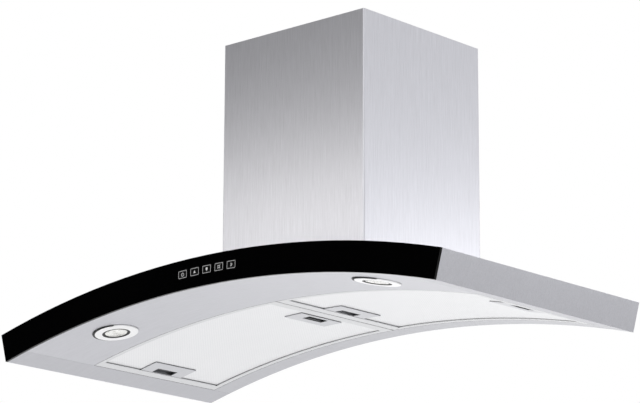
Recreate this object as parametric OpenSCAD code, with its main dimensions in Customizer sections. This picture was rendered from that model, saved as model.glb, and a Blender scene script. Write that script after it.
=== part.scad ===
// Wall mount range hood with an arched canopy, a glass fascia and a telescopic chimney.
// Millimetres. +X is to the right, +Y goes into the wall, +Z is up.
// The origin is the middle of the wall screw pattern, on the wall.

/* [Canopy] */
// Width of the canopy from end to end
hood_w = 900; // [860:5:1000]
// Height of the crown of the arch above its ends
arch_rise = 60; // [45:1:75]
// Thickness of the canopy, square to the arch
canopy_t = 46; // [44:1:60]
// Depth of the canopy, from the wall to the face of the glass
canopy_d = 466; // [450:2:520]
// Thickness of the glass fascia
glass_t = 4; // [3:0.5:6]
// Thickness of the steel sheet
sheet = 1; // [0.8:0.1:1.2]
// Width of the strip between the filters and each end of the canopy
side_strip_w = 45; // [35:1:60]
// Depth of the strip that holds the lamps, from the face of the glass
lamp_strip_d = 150; // [130:2:170]
// Depth of the strip behind the filters
rear_strip_d = 38; // [30:1:50]
// Height of the folds round the filter bay
bay_fold_h = 20; // [16:1:26]
// Length of the folds that stiffen the channels and the end panels
stiff_fold = 12; // [8:1:14]

/* [Chimney] */
// Room between the blower box and each side of the lower chimney cover
chimney_side_room = 22.5; // [18:0.5:40]
// Room between the blower box and the front of the lower chimney cover
chimney_front_room = 25; // [20:0.5:60]
// Height of the lower chimney cover above the crown of the canopy
chimney_h = 400; // [360:5:560]
// Bend radius of the chimney's corners, outside
chimney_bend = 2.5; // [1.5:0.5:5]
// Width of the folds against the wall
wall_fold = 14; // [10:1:15]
// Room between the two chimney covers, on each side
cover_gap = 0.6; // [0.4:0.1:1]
// How far the upper cover's top is below the lower one's at rest
upper_sink = 1; // [0.5:0.5:3]

/* [Filters] */
// Thickness of a filter
filter_t = 9; // [8:0.5:11]
// Room round each filter, so that two of them lie twice this apart
filter_gap = 1; // [0.8:0.1:1.5]
// Width of a filter frame at its hinged end
frame_end_w = 17.5; // [15:0.5:20]
// Width of a filter frame at its far end
frame_far_w = 15; // [13:0.5:18]
// Width of a filter frame along its front and back
frame_side_w = 9; // [7:0.5:12]
// How far the face mesh lies inside the frame
mesh_sink = 1.8; // [1.2:0.1:2.2]
// Thickness of the face mesh
mesh_t = 1; // [0.8:0.1:1.2]
// Place of the hinge studs from the inner end of a filter
hinge_in = 4; // [3.5:0.1:5]
// Height of the hinge studs above the filter's face
hinge_up = 2; // [1.8:0.1:2.4]
// Diameter of the hinge studs
stud_d = 2.4; // [2:0.1:2.6]

/* [Handles] */
// Width of a handle housing along the arch
handle_w = 36; // [34:1:42]
// Length of a handle housing along the depth
handle_l = 92; // [80:2:120]
// How far the handles lie in front of the filters' middle
handle_fwd = 3; // [0:1:6]
// How far the left filter's inner handle lies from its frame
left_handle_off = 8; // [0:1:16]
// How far that handle's finger opening lies further from its edge than the others' do
left_open_off = 4; // [0:0.5:5]
// Width of the finger opening
finger_w = 16; // [14:1:20]
// Length of the finger opening
finger_l = 44; // [40:1:56]
// Travel of a latch
latch_travel = 6; // [4:0.5:6]
// Width of a latch's tongue
tongue_w = 30; // [20:1:36]

/* [Lamps] */
// Outer diameter of a lamp's ring
lamp_d = 70; // [60:1:80]
// Diameter of a lamp's lens
lens_d = 44; // [36:1:50]
// Distance of each lamp from its end of the canopy, along the arch
lamp_end_room = 173; // [140:1:240]
// Place of the lamps from the face of the glass
lamp_in = 76; // [66:1:80]
// Height of a lamp's body above the strip
lamp_body_h = 30; // [20:1:34]

/* [Keys] */
// Width of a key
key_w = 17.5; // [14:0.5:20]
// Height of a key
key_h = 12; // [10:0.5:14]
// Distance from key to key
key_pitch = 25; // [24:0.1:30]
// Place of the keys below the top of the glass
key_drop = 22; // [20:0.5:24]
// Travel of a key
key_travel = 1.5; // [1:0.1:2]

/* [Blower] */
// Width of the blower box
box_w = 250; // [240:1:254]
// Depth of the blower box
box_d = 252; // [248:1:256]
// Height of the blower box above the crown
box_h = 290; // [286:1:310]
// Width of the scroll housing
scroll_w = 116; // [104:1:124]
// Radius of the scroll housing
scroll_r = 98; // [94:1:104]
// Depth of the scroll's outlet duct
duct_d = 110; // [100:1:116]
// Wall of the scroll housing
scroll_wall = 2; // [1.5:0.1:3]
// Diameter of each inlet of the scroll
inlet_d = 140; // [130:1:144]
// Diameter of the impeller
impeller_d = 156; // [150:1:164]
// Width of the impeller
impeller_w = 98; // [80:1:100]
// Number of impeller blades
blade_count = 30; // [20:1:36]
// Diameter of the motor
motor_d = 84; // [70:1:90]
// Length of the motor
motor_l = 72; // [60:1:80]
// Diameter of the motor shaft
shaft_d = 8; // [6:0.5:10]

/* [Outlet] */
// Outer diameter of the outlet collar
collar_d = 149; // [140:0.5:152]
// Wall of the outlet collar
collar_wall = 1.5; // [1:0.1:2]
// Height of the outlet collar above the blower box
collar_h = 42; // [36:1:60]
// Height of the damper pin above the blower box
damper_up = 12; // [10:1:16]
// Diameter of the damper pin
damper_pin_d = 3; // [2.5:0.1:4]

/* [Wall] */
// Distance between the wall screws, across
wall_hole_x = 200; // [180:1:210]
// Distance between the wall screws, up and down
wall_hole_z = 120; // [100:1:140]
// Diameter of the wall screw holes
wall_hole_d = 8; // [6:0.5:9]
// Height of the wall screw pattern's middle above the crown
wall_up = 130; // [115:1:150]
// Thickness of the hanging plate
hanger_t = 3; // [2:0.5:3]

/* [Hidden] */
$fn = 96;
arch_fn = 360;
// Clearance of what moves
run_gap = 0.3;
// Clearance of curved pieces that seat on each other
seat_gap = 0.2;
// Radial clearance of a pin in its bore
pin_gap = 0.06;
// Overlap of a cut past the face that it opens
cut = 1;

// Radii of the arch, its half angle and its centre
out_r = (hood_w * hood_w / 4 + arch_rise * arch_rise) / (2 * arch_rise);
in_r = out_r - canopy_t;
half_a = asin(hood_w / 2 / out_r);
crown_z = -wall_up;
arch_z = crown_z - out_r;
// Angle at which what lies between the end panels stops
end_a = half_a - asin((sheet + seat_gap) / in_r);
// Depths of the canopy's parts
front_y = -canopy_d;
shell_y = front_y + glass_t;
bay_y0 = front_y + lamp_strip_d;
bay_y1 = -rear_strip_d;
end_s = in_r * half_a * PI / 180;
bay_s = end_s - side_strip_w;
lamp_at = end_s - lamp_end_room;
// Heights above the underside of what lies over the bottom sheets
over_sheet = sheet + seat_gap;

// Ends of the right filter along the arch and its front and back
fil_s0 = filter_gap;
fil_s1 = bay_s - filter_gap;
fil_y0 = bay_y0 + filter_gap;
fil_y1 = bay_y1 - filter_gap;
handle_y = (fil_y0 + fil_y1) / 2 - handle_fwd;
hinge_s = fil_s0 + hinge_in;
stud_r = stud_d / 2;
stud_l = filter_gap + sheet * 0.7;
media_z0 = mesh_sink + mesh_t + seat_gap;
media_z1 = filter_t - 0.6;

// Heights above the underside, and places from a housing's middle, of a handle and its latch
plate_z = 0.3;
wall_t = 1;
hous_z1 = filter_t - 0.4;
slide_t = 1.4;
slide_z = hous_z1 - wall_t - slide_t - 0.4;
finger_x1 = handle_w / 2 - 1.5;
finger_x0 = finger_x1 - finger_w;
lip_x = finger_x0 + 1.5;
lip_t = 2;
spring_room = 3;
slide_x0 = -handle_w / 2 + wall_t + latch_travel + spring_room;
slide_x1 = handle_w / 2 - wall_t - 0.5;
outer_in = frame_far_w + handle_w / 2;
tip_x = outer_in + filter_gap - run_gap;
riser_t = 3;
bar_half = 8.5;
bar_h = 14;
bar_lift = 1.8;
keeper_h = 2.4;
bar_z0 = filter_t + bar_lift;
bar_z1 = bar_z0 + bar_h;
riser_z1 = bar_z0 + keeper_h;

// Places of the keys and what holds them
key_count = 5;
key_r = out_r - key_drop;
key_a = key_pitch / key_r * 180 / PI;
key_proud = 0.4;
key_rim = 1;
key_rim_t = 1.2;
rim_y = glass_t + run_gap;
carrier_y = glass_t + sheet;
carrier_d = 9;
carrier_rim = 5;
pocket_d = rim_y + key_rim_t + key_travel + run_gap - carrier_y;
key_stem_d = 4;
stem_y1 = carrier_y + carrier_d - key_travel - run_gap - seat_gap;
board_t = 1.6;

// Places of the blower's parts
box_y1 = -hanger_t;
box_y0 = box_y1 - box_d;
box_top = crown_z + box_h;
// Depth below the crown at which uprights start, before the arch is cut off them
under_crown = 20;
chimney_w = box_w + 2 * chimney_side_room;
chimney_d = hanger_t + box_d + chimney_front_room;
scroll_back = 6;
scroll_up = 118;
scroll_y = box_y1 - sheet - scroll_r - scroll_back;
scroll_z = crown_z + scroll_up;
duct_y = scroll_y - scroll_r + duct_d / 2;
imp_y = scroll_y - 4;
imp_z = scroll_z + 3;
hub_d = 24;
hub_l = 16;
disc_t = 3;
blade_t = 1.2;
blade_l = 16;
motor_x0 = 14;
motor_step = 12;
motor_neck = 3;
shaft_in = motor_l * 0.8;
boss_l = 12;
spider_x = scroll_w / 2 + seat_gap;
collar_r = collar_d / 2;
flange_w = 8;
screw_in = 60;
screw_d = 4;
hanger_rim = 25;
damper_z = box_top + damper_up;
flap_t = 1;
flap_r = collar_r - collar_wall - 1;
knuckle_d = 6.4;
seat_w = 6;

// Place of an inner handle from its filter's hinged end, and of the back of its latch's riser
function inner_in(side) = frame_end_w + handle_w / 2 + (side < 0 ? left_handle_off : 0);
function riser_x1(side) = inner_in(side) + fil_s0 - bar_half - run_gap - seat_gap;
// Angle from the middle of the arch of a length along the underside
function arc_a(s) = s / in_r * 180 / PI;
// Angle from the middle of the arch of a point on the top skin at x
function top_a(x) = asin(x / out_r);
// Half the angle of the row of keys, with a margin past the last key
function keys_a(margin) = key_a * (key_count - 1) / 2 + (key_w / 2 + margin) / key_r * 180 / PI;

// The right side as drawn, or its mirror image on the left
module on_side(side) mirror([side < 0 ? 1 : 0, 0, 0]) children();

// Band of the arch between two radii, two depths and two angles
module arch_band(r0, r1, y0, y1, a0, a1)
    translate([0, 0, arch_z]) rotate(a = -120, v = [1, 1, 1]) rotate([0, 0, a0])
        rotate_extrude(angle = a1 - a0, $fn = arch_fn)
            translate([r0, y0]) square([r1 - r0, y1 - y0]);

// Puts its children at an angle on the arch, with their z outwards and their x along it
module at_angle(a, y, r) translate([0, 0, arch_z]) rotate([0, a, 0]) translate([0, y, r]) children();
module on_arch(s, y = 0, z = 0) at_angle(arc_a(s), y, in_r + z) children();

// Everything under the canopy's top, for cutting what stands on it
module under_canopy(r)
    translate([0, cut, arch_z]) rotate([90, 0, 0]) cylinder(r = r, h = canopy_d + 2 * cut, $fn = arch_fn);

// Block between two corners
module block(low, high) translate(low) cube(high - low);

// Cylinder along the depth, from its front end backwards
module rod_y(r, l) rotate([-90, 0, 0]) cylinder(r = r, h = l);

// Cylinder along the width, from its left end
module rod_x(r, l) rotate([0, 90, 0]) cylinder(r = r, h = l);

// Plate with rounded corners
module round_plate(w, d, r) {
    for (x = [-1, 1], y = [-1, 1]) translate([x * (w / 2 - r), y * (d / 2 - r)]) circle(r, $fn = 32);
    square([w, d - 2 * r], center = true);
    square([w - 2 * r, d], center = true);
}

// Canopy
module top_skin() color("silver") difference() {
    arch_band(out_r - sheet, out_r, shell_y, 0, -end_a, end_a);
    block([-box_w / 2 + sheet, box_y0 + sheet, crown_z - canopy_t], [box_w / 2 - sheet, box_y1 - sheet, 0]);
    for (p = flange_points())
        at_angle(top_a(p.x), p.y, out_r - 2 * sheet) cylinder(d = screw_d + run_gap, h = 4 * sheet, $fn = 32);
}

// Channel that closes the canopy between its top and its underside, with folds towards dir
module channel(y, dir) {
    r0 = in_r + over_sheet;
    r1 = out_r - over_sheet;
    y1 = y + dir * sheet;
    f1 = y + dir * stiff_fold;
    arch_band(r0, r1, min(y, y1), max(y, y1), -end_a, end_a);
    arch_band(r0, r0 + sheet, min(y, f1), max(y, f1), -end_a, end_a);
    arch_band(r1 - sheet, r1, min(y, f1), max(y, f1), -end_a, end_a);
}

module front_channel() color("gainsboro") difference() {
    channel(shell_y, 1);
    arch_band(key_r - key_h / 2 - key_rim - run_gap, key_r + key_h / 2 + key_rim + run_gap,
        shell_y - cut, shell_y + sheet + cut, -keys_a(key_rim + 1.5), keys_a(key_rim + 1.5));
}

module back_channel() color("gainsboro") channel(0, -1);

module end_panel(side) on_side(side) color("silver") {
    at_angle(half_a, 0, in_r) block([-sheet, shell_y, 0], [0, 0, canopy_t]);
    fold_y0 = shell_y + stiff_fold + 2 * sheet;
    fold_a = half_a - asin(stiff_fold / in_r);
    for (r = [in_r + over_sheet, out_r - over_sheet - sheet])
        arch_band(r, r + sheet, fold_y0, -stiff_fold - 2 * sheet, fold_a, half_a - asin(sheet / 2 / in_r));
}

module lamp_panel() color("silver") difference() {
    union() {
        arch_band(in_r, in_r + sheet, shell_y, bay_y0, -arc_a(bay_s - seat_gap), arc_a(bay_s - seat_gap));
        arch_band(in_r, in_r + bay_fold_h, bay_y0 - sheet, bay_y0,
            -arc_a(bay_s - seat_gap), arc_a(bay_s - seat_gap));
    }
    for (s = [-lamp_at, lamp_at])
        on_arch(s, front_y + lamp_in, -cut) cylinder(r = sleeve_r + 0.5, h = sheet + 2 * cut);
    stud_bores(bay_y0 - sheet - cut);
}

module rear_strip() color("silver") difference() {
    union() {
        arch_band(in_r, in_r + sheet, bay_y1, 0, -arc_a(bay_s - seat_gap), arc_a(bay_s - seat_gap));
        arch_band(in_r, in_r + bay_fold_h, bay_y1, bay_y1 + sheet,
            -arc_a(bay_s - seat_gap), arc_a(bay_s - seat_gap));
    }
    stud_bores(bay_y1 - cut);
}

// Bores for the two filters' hinge studs in a fold of the bay
module stud_bores(y) for (s = [-hinge_s, hinge_s])
    on_arch(s, y, hinge_up) rod_y(stud_r + pin_gap, sheet + 2 * cut, $fn = 48);

module side_strip(side) on_side(side) color("silver") difference() {
    union() {
        arch_band(in_r, in_r + sheet, shell_y, 0, arc_a(bay_s), end_a);
        on_arch(bay_s) block([0, bay_y0 - sheet, 0], [sheet, bay_y1 + sheet, bay_fold_h]);
    }
    // Keeper window of the outer latch
    on_arch(bay_s) block([-cut, handle_y - tongue_w / 2 - 1, slide_z - 1],
        [sheet + cut, handle_y + tongue_w / 2 + 1, slide_z + slide_t + 1.4]);
}

module filter_crossbar() color("gainsboro") difference() {
    union() {
        on_arch(0) block([-bar_half, bay_y0, bar_z1 - sheet], [bar_half, bay_y1, bar_z1]);
        for (s = [-1, 1]) on_side(s)
            on_arch(0) block([bar_half - sheet, bay_y0, bar_z0], [bar_half, bay_y1, bar_z1]);
    }
    // Keeper windows of the two inner latches
    on_arch(0) block([-bar_half - cut, handle_y - tongue_w / 2 - 1, bar_z0 + 0.8],
        [bar_half + cut, handle_y + tongue_w / 2 + 1, riser_z1 + 0.6]);
}

// Fascia, keys and what holds them
module at_key(i) at_angle((i - (key_count - 1) / 2) * key_a, front_y, key_r) children();

module glass_fascia() color([0.02, 0.02, 0.02]) difference() {
    arch_band(in_r, out_r, front_y, shell_y, -half_a, half_a);
    for (i = [0 : key_count - 1]) at_key(i)
        block([-key_w / 2 - run_gap, -cut, -key_h / 2 - run_gap],
            [key_w / 2 + run_gap, glass_t + cut, key_h / 2 + run_gap]);
}

module key(i) at_key(i) color([0.06, 0.06, 0.07]) {
    block([-key_w / 2, -key_proud, -key_h / 2], [key_w / 2, rim_y + key_rim_t, key_h / 2]);
    block([-key_w / 2 - key_rim, rim_y, -key_h / 2 - key_rim],
        [key_w / 2 + key_rim, rim_y + key_rim_t, key_h / 2 + key_rim]);
    translate([0, rim_y, 0]) rod_y(key_stem_d / 2, stem_y1 - rim_y, $fn = 48);
}

module key_carrier() color("dimgray") difference() {
    arch_band(key_r - key_h / 2 - carrier_rim, key_r + key_h / 2 + carrier_rim,
        front_y + carrier_y, front_y + carrier_y + carrier_d, -keys_a(carrier_rim), keys_a(carrier_rim));
    for (i = [0 : key_count - 1]) at_key(i) {
        block([-key_w / 2 - key_rim - run_gap, carrier_y - cut, -key_h / 2 - key_rim - run_gap],
            [key_w / 2 + key_rim + run_gap, carrier_y + pocket_d, key_h / 2 + key_rim + run_gap]);
        translate([0, carrier_y, 0]) rod_y(key_stem_d / 2 + pin_gap, carrier_d + cut, $fn = 48);
    }
}

module control_board() color("darkgreen") {
    y = carrier_y + carrier_d;
    arch_band(key_r - key_h / 2 - carrier_rim, key_r + key_h / 2 + carrier_rim,
        front_y + y, front_y + y + board_t, -keys_a(carrier_rim), keys_a(carrier_rim));
    // Relays and the connector on the back of the board
    for (i = [0 : 2 : key_count - 1]) at_key(i) block([-7, y + board_t - 0.2, -6], [7, y + board_t + 10, 6]);
}

// Lamps
module at_lamp(side) on_side(side) on_arch(lamp_at, front_y + lamp_in) children();
// Drop of the arch at the edge of a lamp's ring
ring_z1 = -seat_gap - lamp_d * lamp_d / 8 / in_r;
ring_t = 2;
ledge_z = 1.6;
sleeve_z1 = 5.4;
lens_rim = 3;
sleeve_r = lens_d / 2 + lens_rim + ring_t;

// Ring with a chamfered rim, a sleeve through the strip and a ledge for the lens
module lamp_ring(side) at_lamp(side) color("whitesmoke") {
    r = lamp_d / 2;
    bore = lens_d / 2;
    z0 = ring_z1 - ring_t;
    rotate_extrude() polygon([
        [bore, z0], [r - ring_t / 2, z0], [r, z0 + ring_t / 2], [r, ring_z1],
        [sleeve_r, ring_z1], [sleeve_r, sleeve_z1],
        [bore + lens_rim, sleeve_z1], [bore + lens_rim, ledge_z], [bore, ledge_z],
    ]);
}

module lamp_lens(side) at_lamp(side) color("white", 0.6) {
    translate([0, 0, ring_z1 - 0.6]) cylinder(r = lens_d / 2 - seat_gap, h = ledge_z - ring_z1 + 1);
    translate([0, 0, ledge_z + seat_gap]) cylinder(r = lens_d / 2 + lens_rim - seat_gap, h = 1.2);
}

// Cast body with cooling fins round its core
module lamp_body(side) at_lamp(side) color("gray") {
    z0 = sleeve_z1 + seat_gap;
    translate([0, 0, z0]) cylinder(d = lens_d + 12, h = 4);
    translate([0, 0, z0 + 3]) cylinder(d = lens_d, h = lamp_body_h - z0 - 3);
    for (z = [z0 + 8 : 5 : lamp_body_h - 1.5]) translate([0, 0, z]) cylinder(d = lens_d + 10, h = 1.5);
}

driver_w = 110;
driver_d = 34;
driver_h = 20;
module lamp_driver() color("white") at_angle(0, 0, out_r - sheet - seat_gap - driver_w * driver_w / 8 / out_r)
    block([-driver_w / 2, front_y + lamp_in - driver_d / 2, -driver_h],
        [driver_w / 2, front_y + lamp_in + driver_d / 2, 0]);

// Filters
// Band of a filter between two heights, with its ends and sides taken in
module fil_band(z0, z1, end_in, far_in, side_in)
    arch_band(in_r + z0, in_r + z1, fil_y0 + side_in, fil_y1 - side_in,
        arc_a(fil_s0 + end_in), arc_a(fil_s1 - far_in));

// What lies inside a filter's frame
module fil_inside(z0, z1)
    fil_band(z0, z1, frame_end_w + seat_gap, frame_far_w + seat_gap, frame_side_w + seat_gap);

// Middle of a handle housing, with x towards the end of the filter that it is at
module at_outer(side) on_side(side) on_arch(fil_s1 - outer_in, handle_y) children();
module at_inner(side) on_side(side) on_arch(fil_s0 + inner_in(side), handle_y) mirror([1, 0, 0]) children();

// Room in a filter for its two handle housings
module housing_room(side) {
    w = handle_w / 2 + seat_gap;
    l = handle_l / 2 + seat_gap;
    at_outer(side) block([-w, -l, -cut], [w, l, filter_t + cut]);
    at_inner(side) block([-w, -l, -cut], [w, l, filter_t + cut]);
}

module filter_frame(side) color("silver") difference() {
    on_side(side) {
        difference() {
            fil_band(0, filter_t, 0, 0, 0);
            fil_band(-cut, filter_t + cut, frame_end_w, frame_far_w, frame_side_w);
        }
        for (y = [fil_y0 - stud_l, fil_y1 - stud_r])
            on_arch(hinge_s, y, hinge_up) rod_y(stud_r, stud_l + stud_r, $fn = 48);
    }
    // Way of the outer latch through the end of the frame
    at_outer(side) block([handle_w / 2 - cut, -tongue_w / 2 - run_gap, slide_z - run_gap],
        [outer_in + 2 * cut, tongue_w / 2 + run_gap, slide_z + slide_t + run_gap]);
    inner_way(side);
}

// Way of a filter's inner latch from its housing into the hinged end of the frame
module inner_way(side) at_inner(side) block([handle_w / 2 - cut, -tongue_w / 2 - run_gap, slide_z - run_gap],
    [riser_x1(side) + run_gap, tongue_w / 2 + run_gap, filter_t + cut]);

module filter_mesh(side) color("whitesmoke") difference() {
    on_side(side) fil_inside(mesh_sink, mesh_sink + mesh_t);
    housing_room(side);
}

module filter_media(side) color("lightgray") difference() {
    on_side(side) fil_inside(media_z0, media_z1);
    housing_room(side);
    inner_way(side);
}

// Pressed housing with the finger opening, seen from its middle, the opening moved inwards by off
module handle(off = 0) color("silver") difference() {
    block([-handle_w / 2, -handle_l / 2, plate_z], [handle_w / 2, handle_l / 2, hous_z1]);
    block([-handle_w / 2 + wall_t, -handle_l / 2 + wall_t, plate_z + wall_t],
        [handle_w / 2 - wall_t, handle_l / 2 - wall_t, hous_z1 - wall_t]);
    block([finger_x0 - off, -finger_l / 2, plate_z - cut],
        [finger_x1 - off, finger_l / 2, plate_z + wall_t + cut]);
    block([handle_w / 2 - wall_t - cut, -tongue_w / 2 - run_gap, slide_z - run_gap],
        [handle_w / 2 + cut, tongue_w / 2 + run_gap, slide_z + slide_t + run_gap]);
}

// Slider of a latch out to x1, with the lip that a finger pulls moved inwards by off
module latch_slider(x1, off = 0) {
    block([slide_x0, -finger_l / 2 + 1, slide_z], [slide_x1, finger_l / 2 - 1, slide_z + slide_t]);
    block([lip_x - off, -finger_l / 2 + 2, plate_z + wall_t + run_gap],
        [lip_x - off + lip_t, finger_l / 2 - 2, slide_z + slide_t / 2]);
    block([slide_x1 - cut, -tongue_w / 2, slide_z], [x1, tongue_w / 2, slide_z + slide_t]);
}

module latch_outer() color("gainsboro") latch_slider(tip_x);

module latch_inner(side, off = 0) color("gainsboro") {
    x1 = riser_x1(side);
    latch_slider(x1, off);
    block([x1 - riser_t, -tongue_w / 2, slide_z], [x1, tongue_w / 2, riser_z1]);
}

// Blower
// Middles of the screws in the foot of the blower box
function flange_points() = [
    for (x = [-1, 1], y = [box_y0 + screw_in, box_y1 - screw_in]) [x * (box_w / 2 + flange_w / 2), y],
    for (x = [-1, 1]) [x * screw_in, box_y0 - flange_w / 2],
];

module blower_box() color("lightgray") difference() {
    union() {
        block([-box_w / 2, box_y0, crown_z - under_crown], [box_w / 2, box_y1, box_top]);
        arch_band(out_r - cut, out_r + seat_gap + sheet, box_y0 - flange_w, box_y1,
            -top_a(box_w / 2 + flange_w), top_a(box_w / 2 + flange_w));
    }
    block([-box_w / 2 + sheet, box_y0 + sheet, crown_z - 2 * under_crown],
        [box_w / 2 - sheet, box_y1 - sheet, box_top - sheet]);
    under_canopy(out_r + seat_gap);
    block([-scroll_w / 2 + scroll_wall, duct_y - duct_d / 2 + scroll_wall, box_top - sheet - cut],
        [scroll_w / 2 - scroll_wall, duct_y + duct_d / 2 - scroll_wall, box_top + cut]);
    for (x = [-1, 1], z = [-1, 1]) translate([x * wall_hole_x / 2, box_y1 - sheet - cut, z * wall_hole_z / 2])
        rod_y(wall_hole_d, sheet + 2 * cut, $fn = 48);
    for (p = flange_points())
        at_angle(top_a(p.x), p.y, out_r - cut) cylinder(d = screw_d + run_gap, h = 4 * sheet, $fn = 32);
}

module blower_screws() color("gainsboro") for (p = flange_points())
    at_angle(top_a(p.x), p.y, out_r - 3) {
        cylinder(d = screw_d, h = 3.4 + seat_gap + sheet, $fn = 32);
        translate([0, 0, 3 + seat_gap + sheet + 0.1]) cylinder(d = 7, h = 2.4, $fn = 32);
    }

// Outline of the scroll and its duct, drawn in the plane of the impeller, with its wall taken off
module scroll_outline(off, top) {
    circle(scroll_r - off);
    translate([-scroll_r + off, 0]) square([duct_d - 2 * off, top]);
}

module scroll_half(side) color("dimgray") translate([0, scroll_y, scroll_z]) on_side(side)
    rotate([90, 0, 90]) difference() {
        top = box_top - sheet - seat_gap - scroll_z;
        linear_extrude(scroll_w / 2) scroll_outline(0, top);
        translate([0, 0, -cut]) linear_extrude(scroll_w / 2 - scroll_wall + cut)
            scroll_outline(scroll_wall, top + cut);
        translate([imp_y - scroll_y, imp_z - scroll_z, 0]) cylinder(d = inlet_d, h = scroll_w);
    }

module impeller() color("darkgray") translate([0, imp_y, imp_z]) rotate([0, 90, 0]) difference() {
    union() {
        translate([0, 0, -disc_t / 2]) cylinder(d = impeller_d, h = disc_t);
        translate([0, 0, -hub_l / 2]) cylinder(d = hub_d, h = hub_l);
        for (z = [-impeller_w / 2, impeller_w / 2 - 3]) translate([0, 0, z]) difference() {
            cylinder(d = impeller_d, h = 3);
            translate([0, 0, -cut]) cylinder(d = impeller_d - 2 * blade_l, h = 3 + 2 * cut);
        }
        for (i = [0 : blade_count - 1]) rotate([0, 0, i * 360 / blade_count])
            translate([impeller_d / 2 - blade_l / 2 - 1, 0, 0]) rotate([0, 0, 30])
                cube([blade_l - 3, blade_t, impeller_w - 2], center = true);
    }
    cylinder(d = shaft_d, h = impeller_w, center = true);
}

module motor_shaft() color("gainsboro")
    translate([-hub_l / 2, imp_y, imp_z]) rod_x(shaft_d / 2, hub_l / 2 + motor_x0 + shaft_in);

module motor() color("slategray") translate([motor_x0, imp_y, imp_z]) difference() {
    union() {
        rod_x(motor_d / 2 - motor_neck, motor_l);
        translate([motor_step, 0, 0]) rod_x(motor_d / 2, spider_x - seat_gap - motor_x0 - motor_step);
    }
    translate([-cut, 0, 0]) rod_x(shaft_d / 2 + pin_gap, shaft_in + 1.5 + cut);
}

module motor_spider() color("gray") translate([spider_x, imp_y, imp_z]) {
    difference() {
        rod_x(inlet_d / 2 + 7, 2);
        translate([-cut, 0, 0]) rod_x(inlet_d / 2 - 2, 2 + 2 * cut);
    }
    difference() {
        rod_x(motor_d / 2 + 2, boss_l);
        translate([-cut, 0, 0]) rod_x(motor_d / 2 - motor_neck + pin_gap, boss_l + 2 * cut);
    }
    for (a = [0, 120, 240]) rotate([a, 0, 0])
        block([0, motor_d / 2 + 0.5, -5], [2, inlet_d / 2 - 1, 5]);
}

cap_d = 30;
cap_l = 55;
cap_tip_d = 8;
cap_drop = 20;
module capacitor() color("white")
    translate([-box_w / 2 + sheet + seat_gap + cap_d / 2, scroll_y, scroll_z - cap_drop]) {
        cylinder(d = cap_d, h = cap_l);
        translate([0, 0, cap_l]) cylinder(d = cap_tip_d, h = cap_tip_d);
    }

// Junction box on top of the blower box, in its left front corner
jb_w = 60;
jb_d = 36;
jb_h = 22;
jb_wall = 2;
jb_x = -box_w / 2 + 2;
jb_y = box_y0 + 2;
module junction_box() color("dimgray") difference() {
    block([jb_x, jb_y, box_top], [jb_x + jb_w, jb_y + jb_d, box_top + jb_h]);
    block([jb_x + jb_wall, jb_y + jb_wall, box_top + jb_wall],
        [jb_x + jb_w - jb_wall, jb_y + jb_d - jb_wall, box_top + jb_h + cut]);
}

gland_d = 16;
gland_bore = 9;
gland_nut_h = 6;
gland_cap_h = 10;
gland_x = jb_x + 16;
module junction_cover() color("dimgray") difference() {
    union() {
        block([jb_x, jb_y, box_top + jb_h], [jb_x + jb_w, jb_y + jb_d, box_top + jb_h + jb_wall]);
        block([jb_x + jb_wall + run_gap, jb_y + jb_wall + run_gap, box_top + jb_h - 2],
            [jb_x + jb_w - jb_wall - run_gap, jb_y + jb_d - jb_wall - run_gap, box_top + jb_h + jb_wall]);
    }
    translate([gland_x, jb_y + jb_d / 2, box_top + jb_h - 3]) cylinder(d = gland_d - 4 + 2 * pin_gap, h = 6);
}

module cord_gland() color([0.1, 0.1, 0.1])
    translate([gland_x, jb_y + jb_d / 2, box_top + jb_h]) difference() {
        union() {
            translate([0, 0, jb_wall]) cylinder(d = gland_d + 4, h = gland_nut_h, $fn = 6);
            translate([0, 0, jb_wall + gland_nut_h]) cylinder(d = gland_d, h = gland_cap_h);
            translate([0, 0, -gland_nut_h]) cylinder(d = gland_d - 4, h = gland_cap_h);
        }
        translate([0, 0, -gland_nut_h - cut])
            cylinder(d = gland_bore, h = 2 * (gland_nut_h + cut) + jb_wall + gland_cap_h);
    }

// Outlet
// Collar with its flange and, inside below the flaps, the ring that they rest on
module outlet_collar() color("dimgray") translate([0, duct_y, box_top]) difference() {
    union() {
        cylinder(r = collar_r + 9, h = 2);
        cylinder(r = collar_r, h = collar_h);
    }
    translate([0, 0, damper_up - flap_t / 2 - run_gap]) cylinder(r = collar_r - collar_wall, h = collar_h);
    translate([0, 0, -cut]) cylinder(r = collar_r - seat_w, h = collar_h);
    translate([0, -collar_r - cut, damper_up])
        rod_y(damper_pin_d / 2 + pin_gap, 2 * collar_r + 2 * cut, $fn = 48);
}

module damper_pin() color("gainsboro")
    translate([0, duct_y - collar_r, damper_z]) rod_y(damper_pin_d / 2, 2 * collar_r, $fn = 48);

// Half of the round damper; the knuckles of the two halves take turns along the pin
module damper_flap(side) color("gray") translate([0, duct_y, damper_z]) {
    knuckle_l = (collar_r - seat_w - run_gap) / 2;
    y0 = -2 * knuckle_l;
    keep = side > 0 ? [0, 2] : [1, 3];
    on_side(side) difference() {
        union() {
            intersection() {
                translate([0, 0, -flap_t / 2]) cylinder(r = flap_r, h = flap_t);
                block([knuckle_d / 2 + 0.6, -flap_r, -flap_t], [flap_r, flap_r, flap_t]);
            }
            for (k = keep) {
                translate([0, y0 + k * knuckle_l + run_gap, 0])
                    rod_y(knuckle_d / 2, knuckle_l - 2 * run_gap, $fn = 48);
                block([0, y0 + k * knuckle_l + run_gap + 1, -flap_t / 2],
                    [knuckle_d / 2 + 2, y0 + (k + 1) * knuckle_l - run_gap - 1, flap_t / 2]);
            }
        }
        translate([0, -flap_r, 0]) rod_y(damper_pin_d / 2 + pin_gap, 2 * flap_r, $fn = 48);
    }
}

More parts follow.
